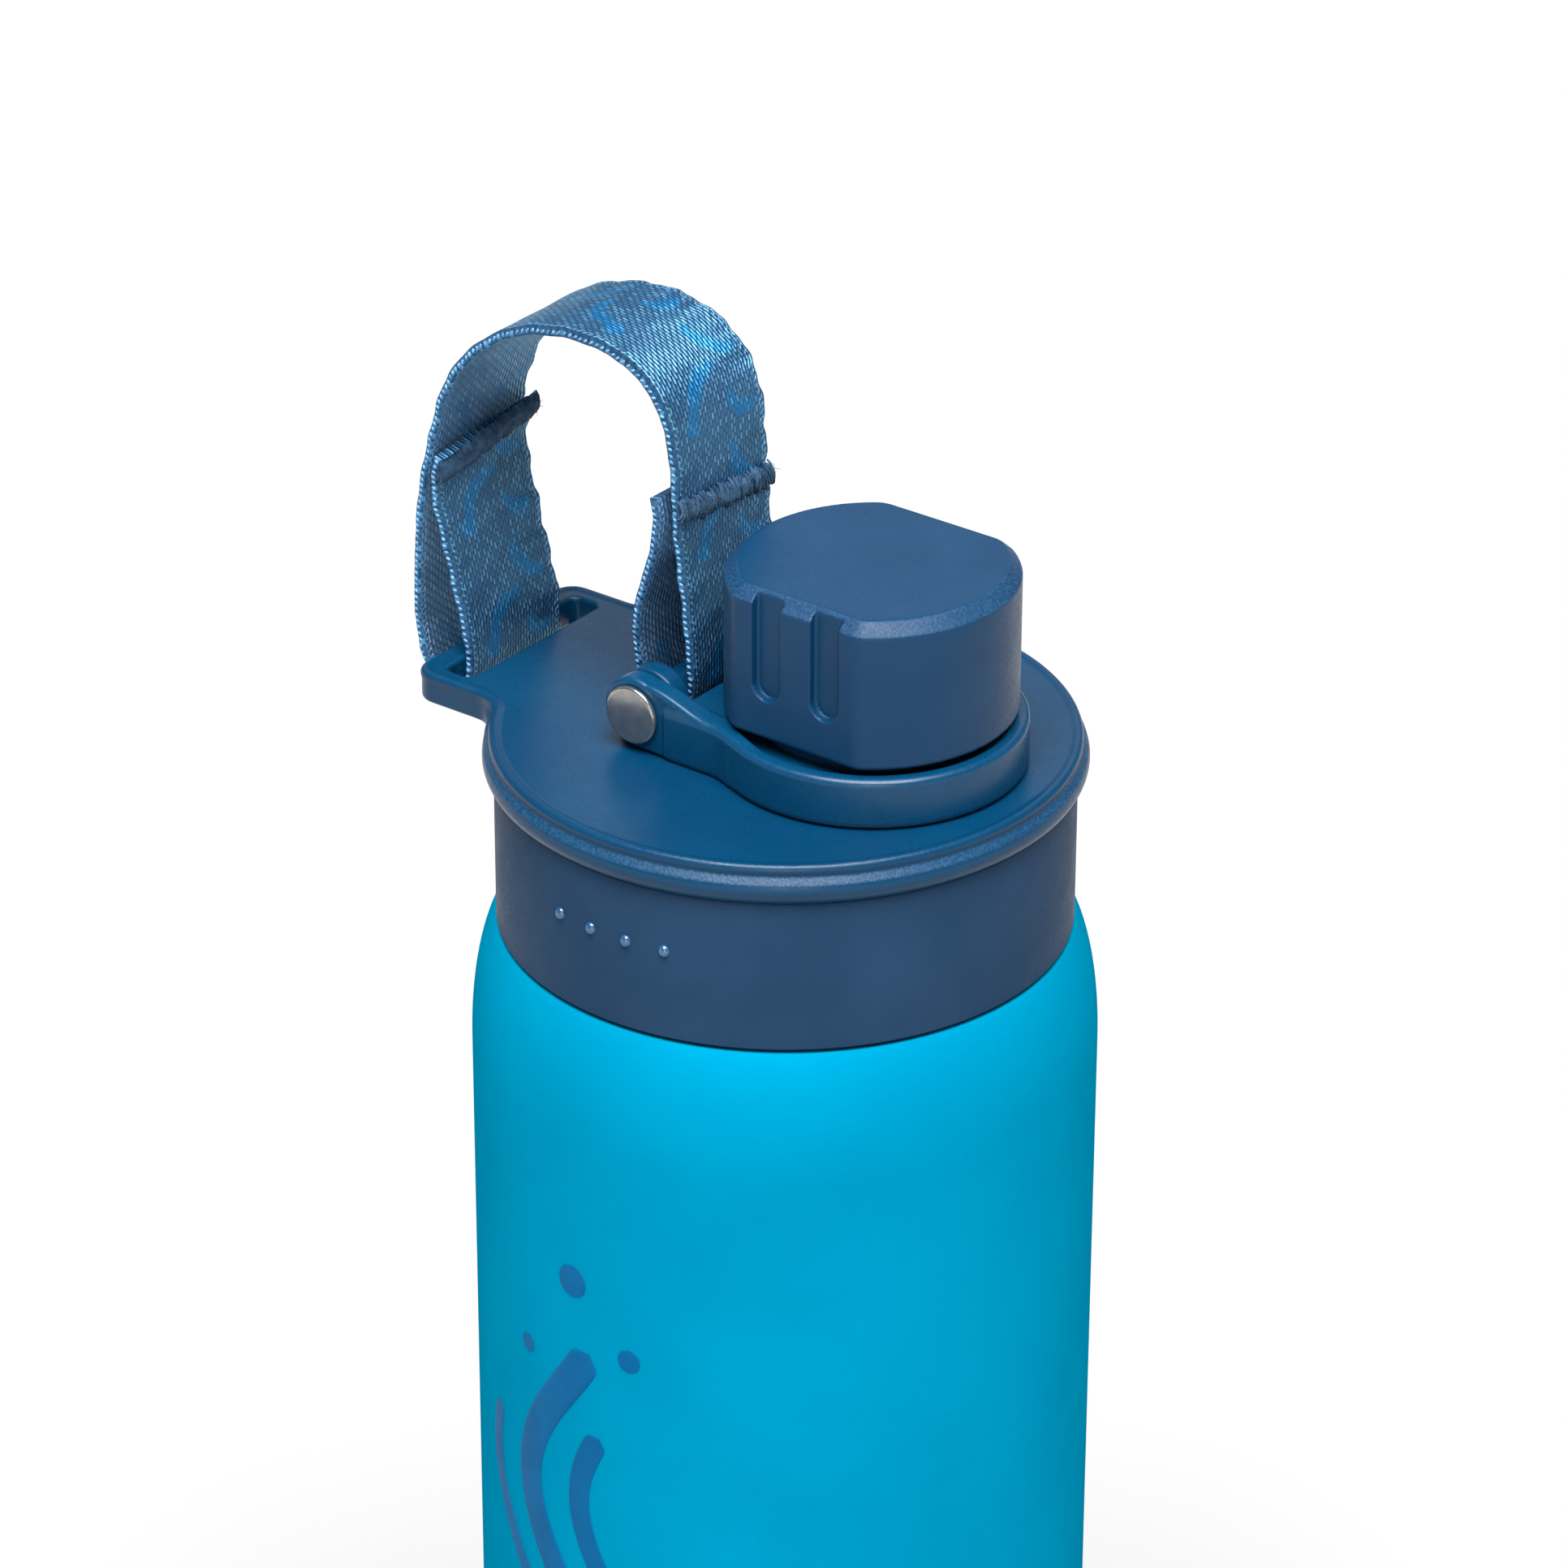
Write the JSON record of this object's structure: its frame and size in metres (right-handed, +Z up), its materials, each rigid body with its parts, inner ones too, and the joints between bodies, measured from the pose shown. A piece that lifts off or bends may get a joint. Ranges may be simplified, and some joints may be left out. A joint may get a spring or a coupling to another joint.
{
  "type": "sports drinking bottle",
  "caption": "Frosted cylindrical drinking bottle with a screw lid, a hinged and tethered spout cap, and a webbing carry loop on a side tab.",
  "frame": {"origin": "centre of the flat resting face under the bottle, on the body's axis", "axes": "+Z up along the body's axis, +X from the strap tab towards the drinking spout, Y along the hinge pin"},
  "size_m": [0.0849, 0.073, 0.2537],
  "materials": {
    "frosted_body": "frosted translucent cyan-blue copolyester, fine satin surface",
    "lid_plastic": "moulded dark petrol-blue polypropylene, fine satin grain",
    "collar_plastic": "moulded slate-blue polypropylene, matte grain",
    "yoke_plastic": "moulded petrol-blue polypropylene, smooth satin",
    "cap_plastic": "moulded slate-blue polypropylene, matte grain, brighter chamfer",
    "cap_core_plastic": "moulded slate-blue polypropylene",
    "silicone": "translucent pale silicone",
    "steel": "stainless steel, satin face with a polished edge",
    "webbing": "ribbed jacquard polyester webbing with pale blue selvedge stitches",
    "stitching": "dense dark-blue bartack thread"
  },
  "bodies": {
    "bottle": {"bottle_body": "frosted_body"},
    "lid_seal": {"lid_gasket": "silicone"},
    "lid": {"lid_cover": "lid_plastic", "lid_collar": "collar_plastic", "hinge_pin": "steel", "hinge_pin_cap": "steel", "carry_strap": "webbing", "bartack_tab_end": "stitching", "bartack_hinge_end": "stitching"},
    "yoke": {"tether_yoke": "yoke_plastic"},
    "cap": {"cap_shell": "cap_plastic", "cap_core": "cap_core_plastic", "cap_gasket": "silicone"}
  },
  "joints": [
    {"name": "lid_lift", "type": "slide", "parent": "bottle", "child": "lid_seal", "axis": [0, 0, 1], "range_m": [0, 0.018]},
    {"name": "lid_turn", "type": "hinge", "parent": "lid_seal", "child": "lid", "pos_m": [0, 0, 0.195], "axis": [0, 0, 1], "range_deg": [0, 1080]},
    {"name": "cap_swing", "type": "hinge", "parent": "lid", "child": "yoke", "pos_m": [-0.0104, 0, 0.2129], "axis": [0, -1, 0], "range_deg": [0, 105], "deforming": ["carry_strap", "bartack_tab_end", "bartack_hinge_end"]},
    {"name": "cap_turn", "type": "hinge", "parent": "yoke", "child": "cap", "pos_m": [0.0121, 0, 0.22], "axis": [0, 0, 1], "range_deg": [0, 360]}
  ],
  "couplings": [
    {"joint": "lid_lift", "follows": "lid_turn", "m_per_rad": 0.00095493}
  ]
}
